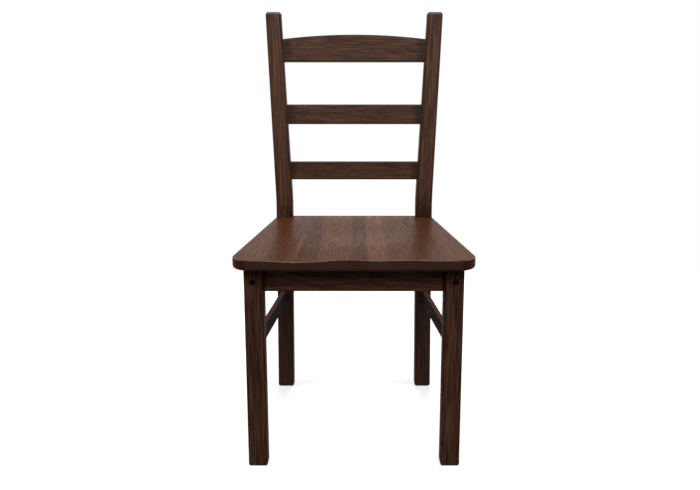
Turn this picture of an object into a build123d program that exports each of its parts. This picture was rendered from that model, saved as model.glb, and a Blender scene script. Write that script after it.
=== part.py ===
from build123d import *
import os
from math import cos, pi, radians, sin, sqrt, tan

# A wooden dining chair with a ladder back and a seat glued up from staves.
# Millimetres and degrees. +Z is up, the floor is z = 0 and the sitter faces -Y.
# The origin is on the floor, under the middle of the chair's overall box.
# Left and right are as seen from in front of the chair: right is +X.

# Seat
seat_height = 450.0  # floor to the flat rim of the seat
seat_thickness = 22.5  # at the rim
seat_depth = 501.0  # front edge to rear edge
seat_front_width = 490.5  # between the front corners, before they are rounded
seat_corner_round = 40.0  # front corners, seen from above
seat_edge_round = 2.0  # edges of the top
seat_lower_round = 6.0  # front and side edges of the underside
seat_tongue = 25.5  # how far the seat reaches back between the posts
seat_reveal = 1.0  # how far the seat stands out past the outer face of a post
outer_stave_width = 69.3  # of the first and last stave, at the front corners
inner_seams = (-112.0, -71.0, -3.0, 28.0, 67.0, 118.0)  # the other glue lines, from the middle

# Carving of the seat: each hollow or rise has a place and a reach, and fades out smoothly at its reach
hollow_depth = 2.9  # the thigh hollow on the left
hollow_place = -112.0
hollow_reach = 85.0
pommel_rise = 2.0  # the ridge in the middle
pommel_place = -12.0
pommel_reach = 60.0
swell_rise = 1.3  # the low swell on the right
swell_place = 108.0
swell_reach = 62.0
front_shape_length = 330.0  # how far back the hollow, the ridge and the swell run
dish_depth = 5.0
dish_rim = 25.0  # between the dish and the rear edge
dish_reach_across = 190.0
dish_reach_along = 190.0

# Front legs
leg_width = 39.5
leg_depth = 39.0
leg_side_inset = 25.2  # front corner of the seat to the outer face of a leg
leg_front_inset = 35.5  # front edge of the seat to the front face of a leg
leg_edge_round = 4.5

# Rear posts: each is one rear leg and one upright of the back
back_width = 389.5  # over both posts, at the seat
back_rise = 501.0  # seat rim to the top of the posts
back_lean = 8.0  # degrees, backwards
back_splay = 3.0  # degrees, outwards, above the seat
post_width = 41.0
post_depth = 38.0
post_top_width = 38.2
post_top_depth = 32.0
post_edge_round = 6.5
lean_bend_rise = 30.0  # seat rim to the middle of the backward bend
lean_bend_radius = 400.0
splay_bend_rise = 40.0  # seat rim to the middle of the outward bend
splay_bend_radius = 900.0
foot_splay = 4.0  # how much further out a post stands at the floor than at the seat

# Rails of the back
rail_thickness = 18.0
rail_setback = 7.0  # front face of a post to the front face of a rail
rail_edge_round = 3.0
crest_drop = 63.5  # top of the posts to the ends of the crest rail's arch
crest_height = 55.5  # at its ends
crest_arch = 10.7  # rise of the arch at the middle
middle_rail_height = 48.0
middle_rail_share = 0.47  # share of the free space between the other two rails that lies below it
lower_rail_height = 45.0
lower_rail_gap = 94.5  # seat rim to the bottom of the lower rail

# Aprons
apron_height = 52.5
apron_thickness = 20.0
front_apron_setback = 12.0  # front face of a leg to the front apron
rear_apron_setback = 9.0  # front face of a post to the rear apron
apron_edge_round = 2.0

# Side stretchers
stretcher_height = 31.5
stretcher_thickness = 14.0
stretcher_top = 257.5  # above the floor
stretcher_leg_offset = 10.6  # outwards from the middle of a front leg
stretcher_post_offset = 6.7  # outwards from the middle of a post at the seat
stretcher_edge_round = 2.0

# Mortises and tenons
apron_tenon_length = 14.0
apron_tenon_thickness = 10.0
apron_tenon_shoulder = 8.0  # cut away above the tenon and below it
rail_tenon_length = 18.0
rail_tenon_thickness = 9.0
rail_tenon_shoulder = 6.0
stretcher_tenon_length = 14.0
stretcher_tenon_thickness = 8.0
stretcher_tenon_shoulder = 4.0
tenon_clearance = 0.1  # round a tenon
tenon_end_gap = 0.4  # beyond its end
seat_notch_clearance = 0.3  # between the seat and the posts

# Connector bolts, their barrel nuts and the dowels beside them
bolt_radius = 3.0
bolt_head_radius = 5.5
bolt_head_height = 5.0
bolt_head_sunk = 2.0  # face of the wood to the top of the head
bolt_socket_width = 5.0  # across the flats of the hexagon
bolt_socket_depth = 3.0
bolt_end_length = 3.0  # beyond the barrel nut
bolt_drop = 30.5  # underside of the seat to the axis of a bolt
bolt_offset = 2.3  # outwards from the middle of a leg or post
bolt_hole_clearance = 0.3
bolt_recess_clearance = 0.9
thread_clearance = 0.05
nut_radius = 5.0
nut_length = 14.0
nut_inset = 38.0  # end of a side apron to the axis of its nut
nut_hole_clearance = 0.1
dowel_radius = 4.0
dowel_length = 30.0
dowel_spacing = 28.0  # between the two dowels, one above the bolt and one below
dowel_end_chamfer = 0.8
dowel_clearance = 0.05
dowel_end_gap = 0.5

# Screws that hold the seat down, driven up through the aprons
screw_radius = 2.0
screw_length = 40.0
screw_point_length = 4.0
screw_bite = 12.0  # into the seat
screw_head_radius = 4.0
screw_head_height = 2.5
screw_slot_width = 1.0
screw_slot_depth = 1.2
screw_hole_clearance = 0.25
screw_bite_clearance = 0.05
front_screw_place = 92.0  # from the middle of the front apron
side_screw_inset = 110.0  # from each end of a side apron

# Heights that follow
seat_underside = seat_height - seat_thickness
apron_bottom = seat_underside - apron_height
bolt_height = seat_underside - bolt_drop
stretcher_bottom = stretcher_top - stretcher_height
post_height = seat_height + back_rise
lean_bend_height = seat_height + lean_bend_rise
splay_bend_height = seat_height + splay_bend_rise

# Places along Y that follow
lean_run = (post_height - lean_bend_height) * tan(radians(back_lean))
leg_to_post = seat_depth - leg_front_inset - seat_tongue
overall_depth = leg_front_inset + leg_to_post + lean_run + post_top_depth
seat_front = -overall_depth / 2
seat_rear = seat_front + seat_depth
leg_front = seat_front + leg_front_inset
leg_back = leg_front + leg_depth
post_front = leg_front + leg_to_post
post_back = post_front + post_depth

# Places along X that follow, on the right-hand side
leg_outer = seat_front_width / 2 - leg_side_inset
leg_inner = leg_outer - leg_width
leg_middle = leg_outer - leg_width / 2
post_outer = back_width / 2
post_middle = post_outer - post_width / 2
splay_run = (post_height - splay_bend_height) * tan(radians(back_splay))
post_top_outer = post_outer + splay_run
front_bolt_x = leg_middle + bolt_offset
rear_bolt_x = post_middle + bolt_offset
front_nut_y = leg_back + nut_inset
rear_nut_y = post_front - nut_inset

# Working sizes
beyond = overall_depth + back_width  # further out than any piece
carving_margin = 20.0  # how far the seat's carved surface runs past its outline
seat_blank_thickness = seat_thickness + pommel_rise + carving_margin  # before it is carved
seat_points_across = 49  # of the grid that the carved surface passes through
seat_points_along = 41
upright_share = 0.9  # an edge counts as upright if at least this much of its direction is vertical


def between(start, end, share):
    """The value at a share of the way from start to end."""
    return start + (end - start) * share


def block(x_range, y_range, z_range):
    """A box given by its lowest and highest X, Y and Z."""
    ranges = (x_range, y_range, z_range)
    middle = [(low + high) / 2 for low, high in ranges]
    size = [high - low for low, high in ranges]
    return Pos(*middle) * Box(*size)


def rod(radius, start, direction, length):
    """A round bar that begins at a point."""
    bar = Cylinder(radius, length, align=(Align.CENTER, Align.CENTER, Align.MIN))
    return Plane(origin=start, z_dir=direction) * bar


def longest_edges(shape, count):
    """The given number of longest edges."""
    return shape.edges().sort_by(SortBy.LENGTH)[-count:]


def other_side(shape):
    """The mirror image of a right-hand piece."""
    return mirror(shape, about=Plane.YZ)


def both_sides(shape):
    """A right-hand shape together with its mirror image."""
    return [shape, other_side(shape)]


# Places that vary with height or depth


def post_inner(height):
    """X of the inner face of the right-hand post."""
    if height < splay_bend_height:
        share = height / splay_bend_height
        return between(post_outer + foot_splay, post_outer, share) - post_width
    share = (height - splay_bend_height) / (post_height - splay_bend_height)
    return between(post_outer - post_width, post_top_outer - post_top_width, share)


def post_face(height):
    """Y of the front faces of the posts, above the bend."""
    return post_front + (height - lean_bend_height) * tan(radians(back_lean))


def side_apron_middle(y):
    """X of the middle of the right-hand side apron, which passes through both of its nuts."""
    share = (y - front_nut_y) / (rear_nut_y - front_nut_y)
    return between(front_bolt_x, rear_bolt_x, share)


def stretcher_middle(y):
    """X of the middle of the right-hand stretcher."""
    share = (y - leg_back) / (post_front - leg_back)
    return between(leg_middle + stretcher_leg_offset, post_middle + stretcher_post_offset, share)


# Front legs and rear posts, before their mortises


def leg_blank():
    """A square front leg, rounded on its long edges and under its foot."""
    leg = block((leg_inner, leg_outer), (leg_front, leg_back), (0, seat_underside))
    top = leg.edges().group_by(Axis.Z)[-1]
    return fillet(leg.edges() - top, leg_edge_round)


def bent_outline(points, bend_radius):
    """A face of three pairs of points, from bottom to top, with the middle pair rounded."""
    face = make_face(Polyline(*points, close=True))
    bend = face.vertices().sort_by(Axis.Y)[2:4]
    return fillet(bend, bend_radius)


def post_blank():
    """A post, where its outline from the side meets its outline from the front."""
    side_points = (
        (post_front, 0),
        (post_front, lean_bend_height),
        (post_front + lean_run, post_height),
        (post_front + lean_run + post_top_depth, post_height),
        (post_back, lean_bend_height),
        (post_back, 0),
    )
    front_points = (
        (post_outer + foot_splay, 0),
        (post_outer, splay_bend_height),
        (post_top_outer, post_height),
        (post_top_outer - post_top_width, post_height),
        (post_outer - post_width, splay_bend_height),
        (post_outer + foot_splay - post_width, 0),
    )
    side = Plane.YZ * bent_outline(side_points, lean_bend_radius)
    front = Plane.XZ * bent_outline(front_points, splay_bend_radius)
    post = extrude(side, amount=beyond, both=True) & extrude(front, amount=beyond, both=True)
    levels = post.edges().group_by(Axis.Z)
    upright = [edge for edge in post.edges() if abs((edge @ 1 - edge @ 0).normalized().Z) > upright_share]
    return fillet([*upright, *levels[0], *levels[-1]], post_edge_round)


# Rails of the back


def rail_plane(height):
    """The plane of the posts' front faces, with its origin at the given height."""
    lean = radians(back_lean)
    return Plane(origin=(0, post_face(height), height), x_dir=(1, 0, 0), z_dir=(0, -cos(lean), sin(lean)))


def rail_slab(height, outline, setback, thickness):
    """An outline in the plane of the back, made into a slab behind the posts' front faces."""
    return rail_plane(height) * Pos(0, 0, -setback - thickness) * extrude(outline, amount=thickness)


def rail_outline(rail_height, arch, half_width):
    """The front view of a rail, reaching into both posts. Its bottom edge is on the X axis."""
    reach = half_width + rail_tenon_length
    if arch == 0:
        return Pos(0, rail_height / 2) * Rectangle(2 * reach, rail_height)
    radius = (half_width**2 + arch**2) / (2 * arch)
    top = rail_height + arch
    end = top - radius + sqrt(radius**2 - reach**2)
    sides = Polyline((-reach, end), (-reach, 0), (reach, 0), (reach, end))
    curve = ThreePointArc((reach, end), (0, top), (-reach, end))
    return make_face([sides, curve])


def rail_tenons(height, rail_height, clearance, end_gap):
    """The two tenons of a rail, as one bar through its middle. Mortises add a clearance."""
    reach = post_inner(height + rail_height / 2) + rail_tenon_length + end_gap
    bar_height = rail_height - 2 * rail_tenon_shoulder + 2 * clearance
    thickness = rail_tenon_thickness + 2 * clearance
    outline = Pos(0, rail_height / 2) * Rectangle(2 * reach, bar_height)
    setback = rail_setback + (rail_thickness - thickness) / 2
    return rail_slab(height, outline, setback, thickness)


def back_rail(height, rail_height, arch, posts):
    """A rail between the posts, with its shoulders cut to them and a tenon at each end."""
    half_width = post_inner(height + rail_height)
    outline = rail_outline(rail_height, arch, half_width)
    slab = rail_slab(height, outline, rail_setback, rail_thickness)
    slab = fillet(longest_edges(slab, 4), rail_edge_round)
    return slab - posts + rail_tenons(height, rail_height, 0, 0)


# Aprons and stretchers


def slanting_board(middle, y_range, thickness, z_range):
    """An upright board along the line middle(y), with ends square to Y."""
    start, end = y_range
    run = middle(end) - middle(start)
    half = thickness / 2 * sqrt(1 + (run / (end - start)) ** 2)
    corners = (
        (middle(start) - half, start),
        (middle(start) + half, start),
        (middle(end) + half, end),
        (middle(end) - half, end),
    )
    low, high = z_range
    return Pos(0, 0, low) * extrude(make_face(Polyline(*corners, close=True)), amount=high - low)


def stretcher_tenons(clearance, end_gap):
    """The two tenons of the right-hand stretcher, as one bar through its middle."""
    reach = stretcher_tenon_length + end_gap
    thickness = stretcher_tenon_thickness + 2 * clearance
    low = stretcher_bottom + stretcher_tenon_shoulder - clearance
    high = stretcher_top - stretcher_tenon_shoulder + clearance
    return slanting_board(stretcher_middle, (leg_back - reach, post_front + reach), thickness, (low, high))


def side_stretcher():
    """The right-hand stretcher, from the back of the leg to the front of the post."""
    span = (leg_back, post_front)
    board = slanting_board(stretcher_middle, span, stretcher_thickness, (stretcher_bottom, stretcher_top))
    board = fillet(longest_edges(board, 4), stretcher_edge_round)
    return board + stretcher_tenons(0, 0)


def cross_tenons(reach, front, clearance):
    """The tenons of the front or the rear apron, as one bar through its middle."""
    middle = front + apron_thickness / 2
    half = apron_tenon_thickness / 2 + clearance
    low = apron_bottom + apron_tenon_shoulder - clearance
    high = seat_underside - apron_tenon_shoulder + clearance
    return block((-reach, reach), (middle - half, middle + half), (low, high))


front_apron_front = leg_front + front_apron_setback
front_tenon_reach = leg_inner + apron_tenon_length
rear_apron_front = post_front + rear_apron_setback
rear_tenon_reach = post_inner(bolt_height) + apron_tenon_length


def lower_long_edges(board):
    """The two long edges along the bottom of a board."""
    return board.edges().group_by(Axis.Z)[0].sort_by(SortBy.LENGTH)[-2:]


def cross_apron(front, half_length):
    """A straight apron across the chair, rounded along its bottom edges."""
    board = block(
        (-half_length, half_length),
        (front, front + apron_thickness),
        (apron_bottom, seat_underside),
    )
    return fillet(lower_long_edges(board), apron_edge_round)


def front_apron():
    """The apron between the front legs."""
    apron = cross_apron(front_apron_front, leg_inner)
    apron += cross_tenons(front_tenon_reach, front_apron_front, 0)
    return apron - front_screw_holes()


def rear_apron(posts):
    """The apron between the posts, with its shoulders cut to them."""
    apron = cross_apron(rear_apron_front, post_outer) - posts
    return apron + cross_tenons(rear_tenon_reach, rear_apron_front, 0)


def side_apron():
    """The right-hand apron, butted between leg and post, with holes for its hardware."""
    board = slanting_board(
        side_apron_middle, (leg_back, post_front), apron_thickness, (apron_bottom, seat_underside)
    )
    board = fillet(lower_long_edges(board), apron_edge_round)
    return board - bolt_holes() - nut_holes() - dowel_holes() - side_screw_holes()


# Hardware on the right-hand side


def bolt_places():
    """Where each bolt enters the wood, its direction and the way to its nut."""
    front = ((front_bolt_x, leg_front, bolt_height), (0, 1, 0), front_nut_y - leg_front)
    rear = ((rear_bolt_x, post_back, bolt_height), (0, -1, 0), post_back - rear_nut_y)
    return (front, rear)


def moved(point, direction, distance):
    """A point moved along a direction."""
    return Vector(point) + Vector(direction) * distance


def connector_bolts():
    """Bolts with a round head and a hexagonal socket."""
    bolts = []
    for entry, direction, nut_distance in bolt_places():
        head_top = moved(entry, direction, bolt_head_sunk)
        end = nut_distance + nut_radius + bolt_end_length
        bolt = rod(bolt_head_radius, head_top, direction, bolt_head_height)
        bolt += rod(bolt_radius, head_top, direction, end - bolt_head_sunk)
        socket = RegularPolygon(bolt_socket_width / 2, 6, major_radius=False)
        bolt -= Plane(origin=head_top, z_dir=direction) * extrude(socket, amount=bolt_socket_depth)
        bolts.append(bolt)
    return bolts


def bolt_holes():
    """The hole and the recess of each bolt."""
    holes = []
    for entry, direction, nut_distance in bolt_places():
        length = nut_distance + nut_radius + bolt_end_length + tenon_end_gap
        holes.append(rod(bolt_radius + bolt_hole_clearance, entry, direction, length))
        recess_radius = bolt_head_radius + bolt_recess_clearance
        holes.append(rod(recess_radius, entry, direction, bolt_head_sunk + bolt_head_height))
    return holes


def nut_starts():
    """The outer end of each barrel nut."""
    places = ((front_bolt_x, front_nut_y), (rear_bolt_x, rear_nut_y))
    return [(x + nut_length / 2, y, bolt_height) for x, y in places]


def barrel_nuts():
    """Round cross nuts, each with a hole for its bolt."""
    nuts = []
    for start in nut_starts():
        nut = rod(nut_radius, start, (-1, 0, 0), nut_length)
        hole_start = moved(start, (-nut_length / 2, -nut_radius, 0), 1)
        nuts.append(nut - rod(bolt_radius + thread_clearance, hole_start, (0, 1, 0), 2 * nut_radius))
    return nuts


def nut_holes():
    """Holes for the nuts, drilled from inside the chair."""
    radius = nut_radius + nut_hole_clearance
    return [rod(radius, start, (-1, 0, 0), apron_thickness) for start in nut_starts()]


def dowel_middles():
    """The middle of each dowel, on the joint between a side apron and a leg or post."""
    places = ((front_bolt_x, leg_back), (rear_bolt_x, post_front))
    heights = (bolt_height - dowel_spacing / 2, bolt_height + dowel_spacing / 2)
    return [(x, y, z) for x, y in places for z in heights]


def locating_dowels():
    """Wooden dowels with chamfered ends."""
    dowels = []
    for x, y, z in dowel_middles():
        dowel = rod(dowel_radius, (x, y - dowel_length / 2, z), (0, 1, 0), dowel_length)
        dowels.append(chamfer(dowel.edges().filter_by(GeomType.CIRCLE), dowel_end_chamfer))
    return dowels


def dowel_holes():
    """Holes for the dowels, a little longer than they are."""
    length = dowel_length + 2 * dowel_end_gap
    return [
        rod(dowel_radius + dowel_clearance, (x, y - length / 2, z), (0, 1, 0), length)
        for x, y, z in dowel_middles()
    ]


# Seat screws


screw_tip = seat_underside + screw_bite
screw_head_top = screw_tip - screw_length


def front_screw_places():
    """X and Y of the screws through the front apron."""
    y = front_apron_front + apron_thickness / 2
    return [(-front_screw_place, y), (front_screw_place, y)]


def side_screw_places():
    """X and Y of the screws through the right-hand side apron."""
    rows = (leg_back + side_screw_inset, post_front - side_screw_inset)
    return [(side_apron_middle(y), y) for y in rows]


def seat_screw(x, y):
    """A pointed screw with a slotted head, standing on its head."""
    shank_length = screw_length - screw_point_length
    screw = rod(screw_radius, (x, y, screw_head_top), (0, 0, 1), shank_length)
    screw += Pos(x, y, screw_tip - screw_point_length / 2) * Cone(screw_radius, 0, screw_point_length)
    screw += rod(screw_head_radius, (x, y, screw_head_top), (0, 0, -1), screw_head_height)
    slot_middle = screw_head_top - screw_head_height + screw_slot_depth / 2
    slot = Box(2 * screw_head_radius, screw_slot_width, screw_slot_depth)
    return screw - Pos(x, y, slot_middle) * slot


def screw_hole(x, y):
    """The hole in an apron: wide for the head, then narrow."""
    wide_radius = screw_head_radius + screw_hole_clearance
    narrow_radius = screw_radius + screw_hole_clearance
    wide = rod(wide_radius, (x, y, apron_bottom), (0, 0, 1), screw_head_top - apron_bottom)
    narrow = rod(narrow_radius, (x, y, apron_bottom), (0, 0, 1), apron_height)
    return wide + narrow


def front_screw_holes():
    """Screw holes of the front apron."""
    return [screw_hole(x, y) for x, y in front_screw_places()]


def side_screw_holes():
    """Screw holes of the right-hand side apron."""
    return [screw_hole(x, y) for x, y in side_screw_places()]


def all_screw_places():
    """X and Y of every seat screw."""
    right = side_screw_places()
    left = [(-x, y) for x, y in right]
    return front_screw_places() + right + left


# Seat


def fading(distance, reach):
    """One at no distance, falling smoothly to zero at the reach and beyond it."""
    if abs(distance) >= reach:
        return 0.0
    return cos(pi * distance / (2 * reach)) ** 2


def seat_top(x, y):
    """Height of the seat's top: a hollow, a ridge and a swell along the front, and a dish behind."""
    behind = y - seat_front
    before_dish = seat_rear - dish_rim - dish_reach_along - y
    across = (
        pommel_rise * fading(x - pommel_place, pommel_reach)
        + swell_rise * fading(x - swell_place, swell_reach)
        - hollow_depth * fading(x - hollow_place, hollow_reach)
    )
    dish = dish_depth * fading(x, dish_reach_across) * fading(before_dish, dish_reach_along)
    return seat_height + across * fading(behind, front_shape_length) - dish


def seat_waste():
    """What is carved away above the seat."""
    half_width = seat_front_width / 2 + carving_margin
    grid = []
    for row in range(seat_points_along):
        y = between(seat_front - carving_margin, seat_rear + carving_margin, row / (seat_points_along - 1))
        points = []
        for column in range(seat_points_across):
            x = between(-half_width, half_width, column / (seat_points_across - 1))
            points.append((x, y, seat_top(x, max(y, seat_front))))
        grid.append(points)
    top = Face.make_surface_from_array_of_points(grid)
    return extrude(top, amount=seat_blank_thickness, dir=(0, 0, 1))


def seat_outline():
    """The seat from above: tapered, with rounded front corners and a notch for each post."""
    front_half = seat_front_width / 2
    rear_half = post_outer + seat_reveal
    notch_front = post_front - seat_notch_clearance
    tongue_half = post_inner(seat_height) - seat_notch_clearance
    right = (
        (front_half, seat_front),
        (rear_half, notch_front),
        (tongue_half, notch_front),
        (tongue_half, seat_rear),
    )
    left = [(-x, y) for x, y in reversed(right)]
    face = make_face(Polyline(*right, *left, close=True))
    corners = face.vertices().group_by(Axis.Y)[0]
    return fillet(corners, seat_corner_round)


def seat_panel():
    """The whole seat, before its glue lines part it into staves."""
    panel = Pos(0, 0, seat_underside) * extrude(seat_outline(), amount=seat_blank_thickness)
    panel -= seat_waste()
    levels = panel.faces().sort_by(Axis.Z)
    panel = fillet(levels[-1].outer_wire().edges(), seat_edge_round)
    underside = panel.faces().sort_by(Axis.Z)[0].outer_wire().edges()
    before_posts = [edge for edge in underside if edge.center().Y < post_front - seat_notch_clearance]
    return fillet(before_posts, seat_lower_round)


def seat_holes():
    """Holes for the screws in the underside of the seat."""
    depth = screw_bite + screw_bite_clearance
    radius = screw_radius + screw_bite_clearance
    return [rod(radius, (x, y, seat_underside), (0, 0, 1), depth) for x, y in all_screw_places()]


def seat_staves():
    """The seat parted along its glue lines, from left to right."""
    panel = seat_panel() - seat_holes()
    outer_seam = seat_front_width / 2 - outer_stave_width
    edges = (-beyond, -outer_seam, *inner_seams, outer_seam, beyond)
    staves = []
    for low, high in zip(edges, edges[1:]):
        staves.append(panel & block((low, high), (seat_front, seat_rear), (0, post_height)))
    return staves


# The whole chair


def rail_heights():
    """The bottom of the crest, middle and lower rails, on the posts' front faces."""
    lean = cos(radians(back_lean))
    crest = post_height - crest_drop - crest_height * lean
    lower = seat_height + lower_rail_gap
    free = crest - lower - (lower_rail_height + middle_rail_height) * lean
    middle = lower + lower_rail_height * lean + middle_rail_share * free
    return crest, middle, lower


def chair():
    """Every piece of the chair by name."""
    pieces = {}
    posts = both_sides(post_blank())
    crest, middle, lower = rail_heights()
    rails = {
        "crest_rail": (crest, crest_height, crest_arch),
        "middle_rail": (middle, middle_rail_height, 0),
        "lower_rail": (lower, lower_rail_height, 0),
    }

    leg = leg_blank() - bolt_holes() - dowel_holes()
    leg -= stretcher_tenons(tenon_clearance, tenon_end_gap)
    leg -= cross_tenons(front_tenon_reach + tenon_end_gap, front_apron_front, tenon_clearance)
    post = posts[0] - bolt_holes() - dowel_holes()
    post -= stretcher_tenons(tenon_clearance, tenon_end_gap)
    post -= cross_tenons(rear_tenon_reach + tenon_end_gap, rear_apron_front, tenon_clearance)
    for name, (height, rail_height, arch) in rails.items():
        pieces[name] = back_rail(height, rail_height, arch, posts)
        post -= rail_tenons(height, rail_height, tenon_clearance, tenon_end_gap)

    right_hand = {
        "front_leg": leg,
        "rear_post": post,
        "side_apron": side_apron(),
        "side_stretcher": side_stretcher(),
    }
    for name, shape in right_hand.items():
        pieces[name + "_right"] = shape
        pieces[name + "_left"] = other_side(shape)
    pieces["front_apron"] = front_apron()
    pieces["rear_apron"] = rear_apron(posts)

    hardware = {
        "connector_bolts": connector_bolts(),
        "barrel_nuts": barrel_nuts(),
        "locating_dowels": locating_dowels(),
    }
    for name, shapes in hardware.items():
        pieces[name] = Compound(shapes + [other_side(shape) for shape in shapes])
    pieces["seat_screws"] = Compound([seat_screw(x, y) for x, y in all_screw_places()])

    for number, stave in enumerate(seat_staves(), start=1):
        pieces[f"seat_stave_{number}"] = stave
    return pieces


os.makedirs("parts", exist_ok=True)
for piece_name, piece in chair().items():
    export_step(piece, os.path.join("parts", piece_name + ".step"))
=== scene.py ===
from dataclasses import dataclass, replace
from math import radians, tan

import bpy
from mathutils import Euler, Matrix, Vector


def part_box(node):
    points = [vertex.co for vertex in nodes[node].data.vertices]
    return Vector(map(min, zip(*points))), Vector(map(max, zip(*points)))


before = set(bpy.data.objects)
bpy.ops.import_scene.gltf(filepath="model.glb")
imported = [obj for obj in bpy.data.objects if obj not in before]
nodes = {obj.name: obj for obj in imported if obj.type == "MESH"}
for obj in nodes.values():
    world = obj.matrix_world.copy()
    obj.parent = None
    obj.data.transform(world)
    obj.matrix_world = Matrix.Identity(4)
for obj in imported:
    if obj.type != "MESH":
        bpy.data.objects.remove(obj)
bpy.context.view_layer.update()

# Camera, placed from the front faces of the front legs
CAMERA_DISTANCE = 1.5598
CAMERA_HEIGHT = 0.8057
CAMERA_SIDE = 0.0024
CAMERA_DOWN = 12.042
CAMERA_LENS = 41.65  # mm
CAMERA_SHIFT = -0.00736  # share of the picture's width
SENSOR_WIDTH = 36.0  # mm

# Light: soft boxes above and on all four sides, and a little light from all round
TOP_LIGHT = {"place": Vector((0.0, -0.5, 2.6)), "size": 1.6, "power": 11.0}
LEFT_LIGHT = {"place": Vector((-1.9, -0.3, 1.8)), "size": 1.2, "power": 18.0}
RIGHT_LIGHT = {"place": Vector((1.9, -0.3, 1.8)), "size": 1.2, "power": 18.0}
FRONT_LIGHT = {"place": Vector((0.0, -2.3, 2.2)), "size": 1.4, "power": 43.0}
BACK_LIGHT = {"place": Vector((0.0, 2.3, 2.0)), "size": 1.4, "power": 42.0, "mirrored": False}
LIGHT_TARGET = Vector((0.0, 0.0, 0.45))
AMBIENT = 0.1
BACKGROUND_WHITE = 1.0

# Floor: lit and shadowed near the chair, plain white further off
FLOOR_SIZE = 14.0
FLOOR_COLOUR = (0.9, 0.9, 0.9)
FLOOR_BOUNCE = 0.12
FLOOR_GLOW = 0.45
FLOOR_LIT_REACH = 0.9
FLOOR_WHITE_REACH = 2.2

# Wood colours, from the darkest line to the lightest streak
WALNUT = ((0.022, 0.0085, 0.0046), (0.060, 0.0245, 0.0127), (0.115, 0.0460, 0.0225))
BEECH = ((0.36, 0.22, 0.12), (0.55, 0.40, 0.25), (0.66, 0.51, 0.34))
SHADE_STOPS = (0.1, 0.5, 0.9)
END_GRAIN_TONE = 0.62
END_GRAIN_SHARE = 0.15
END_GRAIN_FADE = 0.8
END_GRAIN_SATURATION = -0.2
EDGE_SATURATION = 0.15
LIT_TOP_SATURATION = 0.22

# Which way a face points, from its normal along an axis: where a share starts and where it is whole
END_FACING = (0.6, 0.97)
ROUNDED = (0.985, 0.93)
UPPER_START = (0.15, 0.25)
UPPER_END = (0.985, 0.9)
TOP_FACING = (0.8, 0.97)

# Wood figure; a scale is in repeats per metre, along the grain and across it
RING_WIDTH = 0.0052
RING_STOPS = ((0.0, 0.52), (0.35, 0.62), (0.75, 0.48), (0.93, 0.15), (1.0, 0.5))
SWAY_SCALE = (4.0, 12.0)
RIPPLE_SCALE = (13.0, 12.0)
TONE_SCALE = (2.5, 45.0)
STREAK_SCALE = (14.0, 220.0)
STREAK_DETAIL = 3.0
FIBRE_SCALE = (26.0, 480.0)
PORE_SCALE = (60.0, 900.0)
PORE_DETAIL = 1.0
GRAIN_DETAIL = 2.0
MIDDLE_SHADE = 0.5  # of each pattern, and of the wood that they add up to
TONE_WEIGHT = 0.4
PORE_STOPS = ((0.0, 0.0), (0.56, 0.0), (0.66, 1.0))
PORE_WEIGHT = 0.2
BUMP_STRENGTH = 0.2
BUMP_DISTANCE = 0.0003
POLISH_ROUGHNESS = 0.25
STREAK_SPAN = (0.65, 0.35)  # from a light streak to a dark one

# Steel: dark and light blotches, and how rough each is
BLACK_STEEL = {"dark": (0.0015, 0.0014, 0.0013), "light": (0.006, 0.0055, 0.005), "smooth": (0.4, 0.55)}
ZINC_STEEL = {"dark": (0.42, 0.42, 0.40), "light": (0.62, 0.62, 0.60), "smooth": (0.28, 0.42)}
BLOTCH_SCALE = 260.0
BLOTCH_DETAIL = 3.0
BLOTCH_SPAN = (0.3, 0.7)
STEEL_BUMP_STRENGTH = 0.1
STEEL_BUMP_DISTANCE = 0.0001

# Grain directions, each turned to lie along X
GRAIN_TURN = {"x": (0, 0, 0), "y": (0, 0, -90), "z": (0, 90, 0)}
FIGURE_SIZES = ("Rings", "Streaks", "Fibres", "Sway", "Ripple")


@dataclass
class Mark:
    """A light or dark patch in a piece."""

    place: tuple
    size: tuple  # half its extent each way, before it is turned
    strength: float  # above zero is lighter
    turn: float = 0.0  # degrees, seen from above


@dataclass
class Cut:
    """How one piece was sawn from the tree, how it is finished, and the light and shade painted on it."""

    grain: str
    pith: tuple = (0.02, 0.09)  # across the grain, from the middle of the piece to the heart of the tree
    length: float = 1.0  # how drawn out its grain is
    bend: tuple = (0.0, 0.0)  # its lean to the right and backwards, for each metre above the bend
    tone: float = 1.0
    saturation: float = 1.0
    rings: float = 0.3
    streaks: float = 0.9
    fibres: float = 1.5
    sway: float = 0.014
    ripple: float = 0.0
    lacquer: float = 0.09
    smooth: tuple = (0.38, 0.48)  # roughness of light and of dark streaks
    edge: float = 0.3  # how much lighter its rounded edges are, or darker if below zero, which is painted shade
    polish: float = 0.0  # clear coat on its upper rounded edges, from none to one
    faded: float = 0.0  # how much lighter its top is, which is painted light
    marks: tuple = ()


# Painted shade: rails, posts, legs and seat staves have edge below zero, which darkens their rounded edges
BACK = Cut("x", sway=0.010, edge=-0.45, polish=0.3)
POST = Cut("z", length=2.0, rings=0.12, streaks=1.2, fibres=2.0, sway=0.002, edge=-0.3, polish=1.0)
LEG = replace(POST, saturation=0.9, lacquer=0.008, smooth=(0.5, 0.62), streaks=0.9, polish=0.0)
APRON = Cut("x", saturation=0.92, lacquer=0.01, smooth=(0.5, 0.62))
SIDE = Cut("y", saturation=0.85, lacquer=0.0015, smooth=(0.5, 0.62))
# Painted light: the stretchers' tops are made lighter, and their low saturation paints the grey sheen of
# their shaded sides
STRETCHER = replace(SIDE, saturation=0.4, streaks=0.4, fibres=0.6, faded=1.6)
STAVE = Cut(
    "y", (0.11, 0.02), saturation=1.1, rings=0.25, streaks=0.3, fibres=0.7,
    lacquer=0.017, smooth=(0.30, 0.38), edge=-0.35, polish=0.75,
)
DOWEL = Cut("y", pith=(0.05, 0.06), streaks=0.6)

# Posts above their bend, for each metre of rise
LEAN = tan(radians(8.0))
SPLAY = tan(radians(3.0))
BEND_LEVEL = 0.485
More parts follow.
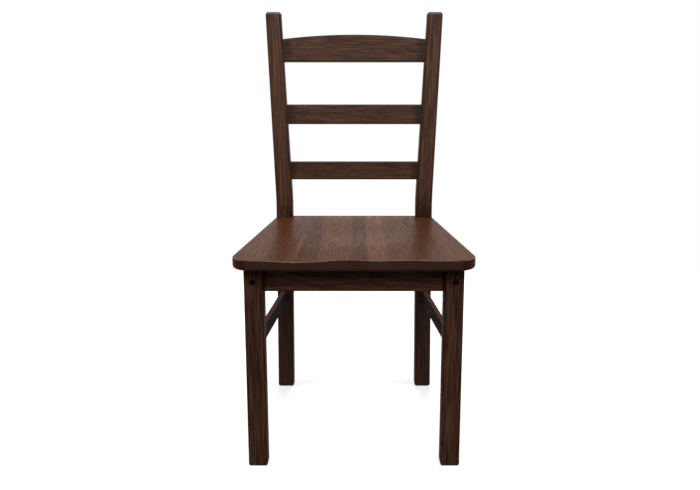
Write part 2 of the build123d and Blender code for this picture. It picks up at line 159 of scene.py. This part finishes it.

# Marks: figure in the seat's wood, and painted shade; one that goes right through a piece is given more
# than its size
THROUGH = 10.0
SEAT_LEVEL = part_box("seat_stave_1")[1][2]
APRON_LOW, APRON_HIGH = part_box("front_apron")
LEG_INNER_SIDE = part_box("front_leg_right")[0][0]
SAP_STREAK = Mark((-0.114, -0.12, SEAT_LEVEL), (0.008, 0.34, THROUGH), 0.6, turn=-2.3)
SMALL_CLOUD = Mark((0.121, 0.11, SEAT_LEVEL), (0.014, 0.06, THROUGH), -0.45, turn=25.0)
LARGE_CLOUD = Mark((0.137, -0.09, SEAT_LEVEL), (0.03, 0.17, THROUGH), -0.12, turn=-6.0)
# Painted shade: both rear posts darker below the seat, and the right one darker just above it
LOWER_SHADE = Mark((0.0, 0.0, SEAT_LEVEL / 2), (THROUGH, THROUGH, SEAT_LEVEL), -0.28)
ABOVE_SEAT_SHADE = Mark((0.0, 0.0, SEAT_LEVEL), (THROUGH, THROUGH, 0.15), -0.38)
# Painted shadow on the inner sides of the rear legs, below the apron
LEG_SHADE_PLACE = (0.154, 0.36)
LEG_SHADE_SIZE = (0.022, THROUGH, 0.17)
LEG_SHADE_STRENGTH = -0.9
RAIL_ENDS = {"crest_rail": 0.168, "middle_rail": 0.160, "lower_rail": 0.154}  # where each meets the posts
# Painted shade at both ends of each rail, where it meets the posts
RAIL_END_SHADE_WIDTH = 0.022
RAIL_END_SHADE_STRENGTH = -0.55
# Painted shade in the corners where the front apron meets the legs
CORNER_WIDTH = 0.007
CORNER_STRENGTH = -1.6


def rail_end_shades(rail):
    """Painted shade: dark patches where both ends of a rail meet the posts."""
    place = RAIL_ENDS[rail]
    size = (RAIL_END_SHADE_WIDTH, THROUGH, THROUGH)
    return tuple(Mark((side * place, 0.0, 0.0), size, RAIL_END_SHADE_STRENGTH) for side in (-1, 1))


def leg_shades():
    """Painted shadow: dark patches on the inner sides of the rear legs, below the apron."""
    across, height = LEG_SHADE_PLACE
    return tuple(Mark((side * across, 0.0, height), LEG_SHADE_SIZE, LEG_SHADE_STRENGTH) for side in (-1, 1))


def corner_shades():
    """Painted shade: dark lines in the corners where the front apron meets the legs."""
    height = APRON_HIGH[2] - APRON_LOW[2]
    middle = (APRON_HIGH[2] + APRON_LOW[2]) / 2
    size = (CORNER_WIDTH, THROUGH, height)
    return tuple(Mark((side * LEG_INNER_SIDE, 0.0, middle), size, CORNER_STRENGTH) for side in (-1, 1))


CUTS = {
    "crest_rail": replace(BACK, pith=(0.03, 0.08), tone=0.96, marks=rail_end_shades("crest_rail")),
    "middle_rail": replace(BACK, pith=(-0.02, 0.10), tone=0.92, marks=rail_end_shades("middle_rail")),
    "lower_rail": replace(BACK, pith=(0.04, -0.09), tone=0.83, marks=rail_end_shades("lower_rail")),
    "rear_post_left": replace(
        POST, pith=(0.03, 0.09), bend=(-SPLAY, LEAN), tone=1.03,
        marks=(LOWER_SHADE, *leg_shades()),
    ),
    "rear_post_right": replace(
        POST, pith=(0.02, -0.11), bend=(SPLAY, LEAN), tone=1.02,
        marks=(LOWER_SHADE, ABOVE_SEAT_SHADE, *leg_shades()),
    ),
    "front_leg_left": replace(LEG, pith=(0.02, 0.10), tone=1.06, marks=corner_shades()),
    "front_leg_right": replace(LEG, pith=(-0.03, -0.08), tone=1.12, marks=corner_shades()),
    "front_apron": replace(APRON, pith=(0.03, 0.09), tone=1.2, marks=corner_shades()),
    "rear_apron": replace(APRON, pith=(-0.02, 0.12)),
    "side_apron_left": replace(SIDE, pith=(0.02, 0.11)),
    "side_apron_right": replace(SIDE, pith=(-0.04, 0.09)),
    "side_stretcher_left": replace(STRETCHER, pith=(0.03, 0.10)),
    "side_stretcher_right": replace(STRETCHER, pith=(-0.02, 0.09)),
    "seat_stave_1": replace(STAVE, tone=1.42),
    "seat_stave_2": replace(STAVE, pith=(-0.09, 0.03), tone=1.21, marks=(SAP_STREAK,)),
    "seat_stave_3": replace(STAVE, pith=(0.10, 0.02), tone=1.04, saturation=1.13, marks=(SAP_STREAK,)),
    "seat_stave_4": replace(STAVE, pith=(-0.07, 0.03), tone=1.58, rings=1.35, ripple=0.022),
    "seat_stave_5": replace(STAVE, pith=(0.13, 0.01), tone=1.15, saturation=1.14),
    "seat_stave_6": replace(STAVE, pith=(0.08, 0.02), tone=1.9, saturation=1.04),
    "seat_stave_7": replace(STAVE, pith=(-0.10, 0.03), tone=1.47),
    "seat_stave_8": replace(STAVE, pith=(0.06, 0.05), tone=1.18, marks=(SMALL_CLOUD, LARGE_CLOUD)),
    "seat_stave_9": replace(STAVE, pith=(-0.12, 0.02), tone=1.34),
}
PIECE_SPACING = 0.37  # along the grain, between the places in the tree that two pieces come from


# Shader nodes


def add(tree, kind, inputs=None, **settings):
    """Adds a shader node. A socket among its inputs is linked, and any other value is set."""
    node = tree.nodes.new("ShaderNode" + kind)
    for name, value in settings.items():
        setattr(node, name, value)
    for name, value in (inputs or {}).items():
        if isinstance(value, bpy.types.NodeSocket):
            tree.links.new(value, node.inputs[name])
        else:
            node.inputs[name].default_value = value
    return node


def number(tree, operation, first, second=0.0):
    """The result of a sum on one or two numbers."""
    return add(tree, "Math", {0: first, 1: second}, operation=operation).outputs[0]


def vector(tree, operation, first, second=(0.0, 0.0, 0.0)):
    """The result of a sum on one or two vectors."""
    return add(tree, "VectorMath", {0: first, 1: second}, operation=operation).outputs[0]


def ranged(tree, value, source, target, smooth=False):
    """A number moved from one range to another, and kept within it."""
    kind = "SMOOTHSTEP" if smooth else "LINEAR"
    limits = {"From Min": source[0], "From Max": source[1], "To Min": target[0], "To Max": target[1]}
    return add(tree, "MapRange", {"Value": value, **limits}, interpolation_type=kind).outputs[0]


def ramp(tree, value, stops):
    """A number through a row of stops, each a place and a grey or a colour."""
    node = add(tree, "ValToRGB", {"Fac": value})
    elements = node.color_ramp.elements
    while len(elements) < len(stops):
        elements.new(1.0)
    for element, (place, tone) in zip(elements, stops):
        element.position = place
        colour = tone if isinstance(tone, tuple) else (tone, tone, tone)
        element.color = (*colour, 1)
    return node.outputs["Color"]


def grain_noise(tree, place, scale, detail=GRAIN_DETAIL):
    """Noise drawn out along the grain, which runs along X."""
    along, across = scale
    stretched = vector(tree, "MULTIPLY", place, (along, across, across))
    return add(tree, "TexNoise", {"Vector": stretched, "Scale": 1.0, "Detail": detail})


def new_material(name):
    """An empty node material and its output."""
    material = bpy.data.materials.new(name)
    material.use_nodes = True
    material.node_tree.nodes.clear()
    output = add(material.node_tree, "OutputMaterial")
    return material, material.node_tree, output.inputs["Surface"]


# Camera, light and floor


def make_camera():
    """The photograph's point of view."""
    data = bpy.data.cameras.new("camera")
    data.lens = CAMERA_LENS
    data.sensor_width = SENSOR_WIDTH
    data.shift_x = CAMERA_SHIFT
    camera = bpy.data.objects.new("camera", data)
    leg_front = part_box("front_leg_left")[0][1]
    camera.location = (CAMERA_SIDE, leg_front - CAMERA_DISTANCE, CAMERA_HEIGHT)
    camera.rotation_euler = (radians(90 - CAMERA_DOWN), 0, 0)
    bpy.context.scene.collection.objects.link(camera)
    bpy.context.scene.camera = camera


def seen_directly(tree):
    """One for what the camera sees, straight, mirrored or through glass, and zero for light."""
    path = add(tree, "LightPath").outputs
    mirrored = number(tree, "MAXIMUM", path["Is Glossy Ray"], path["Is Transmission Ray"])
    return number(tree, "MAXIMUM", path["Is Camera Ray"], mirrored)


def make_world():
    """White behind the chair, and a low even light from all round."""
    world = bpy.data.worlds.new("world")
    bpy.context.scene.world = world
    world.use_nodes = True
    tree = world.node_tree
    tree.nodes.clear()
    strength = ranged(tree, seen_directly(tree), (0, 1), (AMBIENT, BACKGROUND_WHITE))
    background = add(tree, "Background", {"Color": (1, 1, 1, 1), "Strength": strength})
    output = add(tree, "OutputWorld")
    tree.links.new(background.outputs[0], output.inputs["Surface"])


def make_light(name, place, size, power, mirrored=True):
    """A soft box that faces the chair, and may show as a sheen on it."""
    data = bpy.data.lights.new(name, "AREA")
    data.shape = "SQUARE"
    data.size = size
    data.energy = power
    light = bpy.data.objects.new(name, data)
    light.visible_glossy = mirrored
    light.location = place
    light.rotation_euler = (LIGHT_TARGET - place).to_track_quat("-Z", "Y").to_euler()
    bpy.context.scene.collection.objects.link(light)


def floor_material():
    """Pale and shadowed near the chair, white further off, and dim to the light that bounces off it."""
    material, tree, surface = new_material("floor")
    pale = add(tree, "BsdfDiffuse", {"Color": (*FLOOR_COLOUR, 1)}).outputs[0]
    glow = add(tree, "Emission", {"Color": (1, 1, 1, 1), "Strength": FLOOR_GLOW}).outputs[0]
    white = add(tree, "Emission", {"Color": (1, 1, 1, 1), "Strength": BACKGROUND_WHITE}).outputs[0]
    dim = add(tree, "BsdfDiffuse", {"Color": (FLOOR_BOUNCE, FLOOR_BOUNCE, FLOOR_BOUNCE, 1)}).outputs[0]
    lit = add(tree, "AddShader", {0: pale, 1: glow}).outputs[0]
    where = add(tree, "TexCoord").outputs["Object"]
    distance = add(tree, "VectorMath", {0: where}, operation="LENGTH").outputs["Value"]
    far = ranged(tree, distance, (FLOOR_LIT_REACH, FLOOR_WHITE_REACH), (0, 1), smooth=True)
    shown = add(tree, "MixShader", {0: far, 1: lit, 2: white}).outputs[0]
    mixed = add(tree, "MixShader", {0: seen_directly(tree), 1: dim, 2: shown}).outputs[0]
    tree.links.new(mixed, surface)
    return material


def make_floor():
    """A plain square floor."""
    half = FLOOR_SIZE / 2
    corners = [(-half, -half, 0), (half, -half, 0), (half, half, 0), (-half, half, 0)]
    mesh = bpy.data.meshes.new("floor")
    mesh.from_pydata(corners, [], [(0, 1, 2, 3)])
    mesh.materials.append(floor_material())
    floor = bpy.data.objects.new("floor", mesh)
    bpy.context.scene.collection.objects.link(floor)


# Wood


def moved_grain(group, place, scale, size):
    """A sideways wander of the grain, at most about half the given size."""
    noise = grain_noise(group, place, scale).outputs["Color"]
    wander = vector(group, "SUBTRACT", noise, (MIDDLE_SHADE, MIDDLE_SHADE, MIDDLE_SHADE))
    sideways = vector(group, "MULTIPLY", wander, (0.0, 1.0, 1.0))
    return add(group, "VectorMath", {0: sideways, "Scale": size}, operation="SCALE").outputs[0]


def ring_pattern(group, place):
    """Growth rings about the X axis, each with a dark line of late wood."""
    flat = vector(group, "MULTIPLY", place, (0.0, 1.0, 1.0))
    radius = add(group, "VectorMath", {0: flat}, operation="LENGTH").outputs["Value"]
    phase = number(group, "FRACT", number(group, "DIVIDE", radius, RING_WIDTH))
    return ramp(group, phase, RING_STOPS)


def make_wood_figure():
    """A node group for wood in the round: rings, streaks, fibres and pores about a heart along X."""
    group = bpy.data.node_groups.new("wood_figure", "ShaderNodeTree")
    group.interface.new_socket("Place", in_out="INPUT", socket_type="NodeSocketVector")
    for name in FIGURE_SIZES:
        group.interface.new_socket(name, in_out="INPUT", socket_type="NodeSocketFloat")
    for name in ("Shade", "Streak", "Height"):
        group.interface.new_socket(name, in_out="OUTPUT", socket_type="NodeSocketFloat")
    given = group.nodes.new("NodeGroupInput").outputs
    result = group.nodes.new("NodeGroupOutput").inputs

    place = given["Place"]
    sway = moved_grain(group, place, SWAY_SCALE, given["Sway"])
    ripple = moved_grain(group, place, RIPPLE_SCALE, given["Ripple"])
    place = vector(group, "ADD", place, vector(group, "ADD", sway, ripple))

    rings = ring_pattern(group, place)
    tone = grain_noise(group, place, TONE_SCALE).outputs["Fac"]
    streaks = grain_noise(group, place, STREAK_SCALE, STREAK_DETAIL).outputs["Fac"]
    fibres = grain_noise(group, place, FIBRE_SCALE).outputs["Fac"]
    pores = ramp(group, grain_noise(group, place, PORE_SCALE, PORE_DETAIL).outputs["Fac"], PORE_STOPS)

    shade = number(group, "SUBTRACT", MIDDLE_SHADE, number(group, "MULTIPLY", pores, PORE_WEIGHT))
    layers = (
        (rings, given["Rings"]),
        (tone, TONE_WEIGHT),
        (streaks, given["Streaks"]),
        (fibres, given["Fibres"]),
    )
    for value, weight in layers:
        swing = number(group, "MULTIPLY", number(group, "SUBTRACT", value, MIDDLE_SHADE), weight)
        shade = number(group, "ADD", shade, swing)
    group.links.new(shade, result["Shade"])
    group.links.new(streaks, result["Streak"])
    group.links.new(number(group, "SUBTRACT", streaks, pores), result["Height"])
    return group


def straightened(tree, where, bend):
    """A place in a bent post, moved to where it was before the bending."""
    height = add(tree, "SeparateXYZ", {0: where}).outputs["Z"]
    rise = number(tree, "MAXIMUM", number(tree, "SUBTRACT", height, BEND_LEVEL), 0.0)
    shift = add(tree, "VectorMath", {0: (*bend, 0.0), "Scale": rise}, operation="SCALE").outputs[0]
    return vector(tree, "SUBTRACT", where, shift)


def grain_place(tree, piece, cut, number_in_row):
    """Where each point of a piece lies in the tree, with the grain along X."""
    turn = Euler([radians(angle) for angle in GRAIN_TURN[cut.grain]])
    low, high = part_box(piece)
    middle = (Vector(low) + Vector(high)) / 2
    middle.rotate(turn)
    heart = Vector((PIECE_SPACING * number_in_row, *cut.pith))
    where = straightened(tree, add(tree, "TexCoord").outputs["Object"], cut.bend)
    shrink = [1 / cut.length if axis == cut.grain else 1 for axis in "xyz"]
    settings = {"Vector": where, "Scale": shrink, "Rotation": turn, "Location": heart - middle}
    return add(tree, "Mapping", settings).outputs[0]


def face_turns(tree, grain):
    """Shares of end grain, of rounded edge, of rounded edge that faces up and of top."""
    normal = add(tree, "NewGeometry").outputs["Normal"]
    slope = add(tree, "SeparateXYZ", {0: vector(tree, "ABSOLUTE", normal)}).outputs
    rise = add(tree, "SeparateXYZ", {0: normal}).outputs["Z"]
    end = ranged(tree, slope["xyz".index(grain)], END_FACING, (0, 1))
    steepest = number(tree, "MAXIMUM", number(tree, "MAXIMUM", slope[0], slope[1]), slope[2])
    edge = ranged(tree, steepest, ROUNDED, (0, 1), smooth=True)
    above = ranged(tree, rise, UPPER_START, (0, 1))
    band = number(tree, "MULTIPLY", above, ranged(tree, rise, UPPER_END, (0, 1)))
    return end, edge, number(tree, "MULTIPLY", edge, band), ranged(tree, rise, TOP_FACING, (0, 1))


def marked(tree, shade, mark):
    """A shade made lighter or darker by one soft-edged patch."""
    settings = {
        "Vector": add(tree, "TexCoord").outputs["Object"],
        "Location": mark.place,
        "Rotation": (0, 0, radians(mark.turn)),
        "Scale": mark.size,
    }
    inside = add(tree, "Mapping", settings, vector_type="TEXTURE").outputs[0]
    spot = add(tree, "TexGradient", {"Vector": inside}, gradient_type="QUADRATIC_SPHERE").outputs["Fac"]
    return number(tree, "ADD", shade, number(tree, "MULTIPLY", spot, mark.strength))


def weighted(tree, start, *terms):
    """A number plus each share times its weight."""
    total = start
    for share, weight in terms:
        total = number(tree, "ADD", total, number(tree, "MULTIPLY", share, weight))
    return total


def wood_material(piece, cut, figure, number_in_row, palette=WALNUT):
    """Wood for one piece."""
    material, tree, surface = new_material("wood_" + piece)
    wood = add(tree, "Group", node_tree=figure)
    tree.links.new(grain_place(tree, piece, cut, number_in_row), wood.inputs["Place"])
    for name in FIGURE_SIZES:
        wood.inputs[name].default_value = getattr(cut, name.lower())
    end, edge, upper, top = face_turns(tree, cut.grain)
    shade = wood.outputs["Shade"]
    for mark in cut.marks:
        shade = marked(tree, shade, mark)
    swing = number(tree, "SUBTRACT", shade, MIDDLE_SHADE)
    faded = number(tree, "MULTIPLY", swing, ranged(tree, end, (0, 1), (1, 1 - END_GRAIN_FADE)))
    colour = ramp(tree, number(tree, "ADD", faded, MIDDLE_SHADE), list(zip(SHADE_STOPS, palette)))
    tone = ranged(tree, end, (0, 1), (cut.tone, END_GRAIN_TONE + END_GRAIN_SHARE * cut.tone))
    # Painted light and shade: rounded edges lighter or darker by edge, and tops lighter by faded
    lightness = weighted(tree, 1.0, (edge, cut.edge), (top, cut.faded))
    saturation = weighted(
        tree, cut.saturation, (end, END_GRAIN_SATURATION), (edge, EDGE_SATURATION),
        (top, LIT_TOP_SATURATION * cut.faded),
    )
    look = {"Color": colour, "Value": number(tree, "MULTIPLY", tone, lightness), "Saturation": saturation}
    toned = add(tree, "HueSaturation", look).outputs[0]
    rough = ranged(tree, wood.outputs["Streak"], STREAK_SPAN, cut.smooth)
    relief = {"Height": wood.outputs["Height"], "Strength": BUMP_STRENGTH, "Distance": BUMP_DISTANCE}
    finish = {
        "Base Color": toned,
        "Roughness": rough,
        "Normal": add(tree, "Bump", relief).outputs[0],
        "Specular IOR Level": cut.lacquer,
        "Coat Weight": number(tree, "MULTIPLY", upper, cut.polish),
        "Coat Roughness": POLISH_ROUGHNESS,
    }
    tree.links.new(add(tree, "BsdfPrincipled", finish).outputs[0], surface)
    return material


# Metal


def metal_material(name, dark, light, smooth):
    """Plated or blackened steel, slightly blotched."""
    material, tree, surface = new_material(name)
    where = add(tree, "TexCoord").outputs["Object"]
    spread = {"Vector": where, "Scale": BLOTCH_SCALE, "Detail": BLOTCH_DETAIL}
    blotches = add(tree, "TexNoise", spread).outputs["Fac"]
    relief = {"Height": blotches, "Strength": STEEL_BUMP_STRENGTH, "Distance": STEEL_BUMP_DISTANCE}
    finish = {
        "Base Color": ramp(tree, blotches, list(zip(BLOTCH_SPAN, (dark, light)))),
        "Roughness": ranged(tree, blotches, BLOTCH_SPAN, smooth),
        "Normal": add(tree, "Bump", relief).outputs[0],
        "Metallic": 1.0,
    }
    tree.links.new(add(tree, "BsdfPrincipled", finish).outputs[0], surface)
    return material


def dress(piece, material):
    """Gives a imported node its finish."""
    slots = nodes[piece].data.materials
    slots.clear()
    slots.append(material)


def dress_chair():
    """Wood and metal on every node."""
    figure = make_wood_figure()
    for number_in_row, (piece, cut) in enumerate(CUTS.items()):
        dress(piece, wood_material(piece, cut, figure, number_in_row))
    dress("locating_dowels", wood_material("locating_dowels", DOWEL, figure, len(CUTS), BEECH))
    dress("connector_bolts", metal_material("black_steel", **BLACK_STEEL))
    zinc = metal_material("zinc_steel", **ZINC_STEEL)
    dress("barrel_nuts", zinc)
    dress("seat_screws", zinc)


bpy.context.scene.view_settings.view_transform = "Standard"
make_camera()
make_world()
make_light("top_light", **TOP_LIGHT)
make_light("left_light", **LEFT_LIGHT)
make_light("right_light", **RIGHT_LIGHT)
make_light("front_light", **FRONT_LIGHT)
make_light("back_light", **BACK_LIGHT)
make_floor()
dress_chair()
